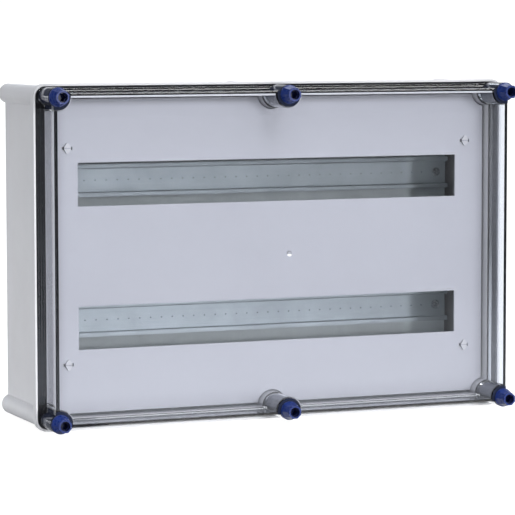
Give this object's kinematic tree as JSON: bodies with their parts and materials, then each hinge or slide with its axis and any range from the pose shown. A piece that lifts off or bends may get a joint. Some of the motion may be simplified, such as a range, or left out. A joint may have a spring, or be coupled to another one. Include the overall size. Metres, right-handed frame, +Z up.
{
  "type": "din rail enclosure",
  "caption": "Wide wall-mount plastic enclosure with a clear screw-down cover, an inner plate with long windows and top-hat rails behind them for modular devices.",
  "frame": {"origin": "middle of the flat back face that lies on the wall", "axes": "+X to the right as seen from the front, +Z up, +Y into the wall, so the front faces -Y"},
  "size_m": [0.54, 0.184, 0.36],
  "materials": {
    "base_grey": "fine moulded texture",
    "seal_rubber": "matt black",
    "clear_plastic": "clear, polished",
    "screw_blue": "satin navy",
    "plate_grey": "smooth",
    "stud_white": "smooth",
    "zinc_rail": "zinc plated, bluish",
    "zinc_plate": "zinc plated, dull",
    "zinc_screw": "zinc plated",
    "pillar_grey": "smooth"
  },
  "bodies": {
    "base": {"base_box": "base_grey", "rim_gasket": "seal_rubber", "rail_upper": "zinc_rail", "rail_lower": "zinc_rail", "rail_screws": "zinc_screw", "mounting_plate": "zinc_plate", "mounting_screws": "zinc_screw", "plate_pillars": "pillar_grey", "pillar_screws": "zinc_screw"},
    "cover": {"clear_cover": "clear_plastic", "screw_seals": "seal_rubber"},
    "screw_top_left": {"cover_screw_top_left": "screw_blue"},
    "screw_top_mid": {"cover_screw_top_mid": "screw_blue"},
    "screw_top_right": {"cover_screw_top_right": "screw_blue"},
    "screw_bottom_left": {"cover_screw_bottom_left": "screw_blue"},
    "screw_bottom_mid": {"cover_screw_bottom_mid": "screw_blue"},
    "screw_bottom_right": {"cover_screw_bottom_right": "screw_blue"},
    "plate": {"inner_plate": "plate_grey"},
    "stud_top_left": {"plate_stud_top_left": "stud_white"},
    "stud_top_right": {"plate_stud_top_right": "stud_white"},
    "stud_bottom_left": {"plate_stud_bottom_left": "stud_white"},
    "stud_bottom_right": {"plate_stud_bottom_right": "stud_white"}
  },
  "joints": [
    {"name": "cover_lift", "type": "slide", "parent": "base", "child": "cover", "axis": [0, -1, 0], "range_m": [0, 0.15]},
    {"name": "screw_turn_top_left", "type": "hinge", "parent": "cover", "child": "screw_top_left", "pos_m": [-0.255, -0.17, 0.1674], "axis": [0, -1, 0], "range_deg": [0, 90]},
    {"name": "screw_turn_top_mid", "type": "hinge", "parent": "cover", "child": "screw_top_mid", "pos_m": [0, -0.17, 0.1674], "axis": [0, -1, 0], "range_deg": [0, 90]},
    {"name": "screw_turn_top_right", "type": "hinge", "parent": "cover", "child": "screw_top_right", "pos_m": [0.255, -0.17, 0.1674], "axis": [0, -1, 0], "range_deg": [0, 90]},
    {"name": "screw_turn_bottom_left", "type": "hinge", "parent": "cover", "child": "screw_bottom_left", "pos_m": [-0.255, -0.17, -0.1674], "axis": [0, -1, 0], "range_deg": [0, 90]},
    {"name": "screw_turn_bottom_mid", "type": "hinge", "parent": "cover", "child": "screw_bottom_mid", "pos_m": [0, -0.17, -0.1674], "axis": [0, -1, 0], "range_deg": [0, 90]},
    {"name": "screw_turn_bottom_right", "type": "hinge", "parent": "cover", "child": "screw_bottom_right", "pos_m": [0.255, -0.17, -0.1674], "axis": [0, -1, 0], "range_deg": [0, 90]},
    {"name": "plate_lift", "type": "slide", "parent": "base", "child": "plate", "axis": [0, -1, 0], "range_m": [0, 0.03]},
    {"name": "stud_turn_top_left", "type": "hinge", "parent": "plate", "child": "stud_top_left", "pos_m": [-0.23, -0.12, 0.113], "axis": [0, -1, 0], "range_deg": [0, 90]},
    {"name": "stud_turn_top_right", "type": "hinge", "parent": "plate", "child": "stud_top_right", "pos_m": [0.23, -0.12, 0.113], "axis": [0, -1, 0], "range_deg": [0, 90]},
    {"name": "stud_turn_bottom_left", "type": "hinge", "parent": "plate", "child": "stud_bottom_left", "pos_m": [-0.23, -0.12, -0.113], "axis": [0, -1, 0], "range_deg": [0, 90]},
    {"name": "stud_turn_bottom_right", "type": "hinge", "parent": "plate", "child": "stud_bottom_right", "pos_m": [0.23, -0.12, -0.113], "axis": [0, -1, 0], "range_deg": [0, 90]}
  ]
}
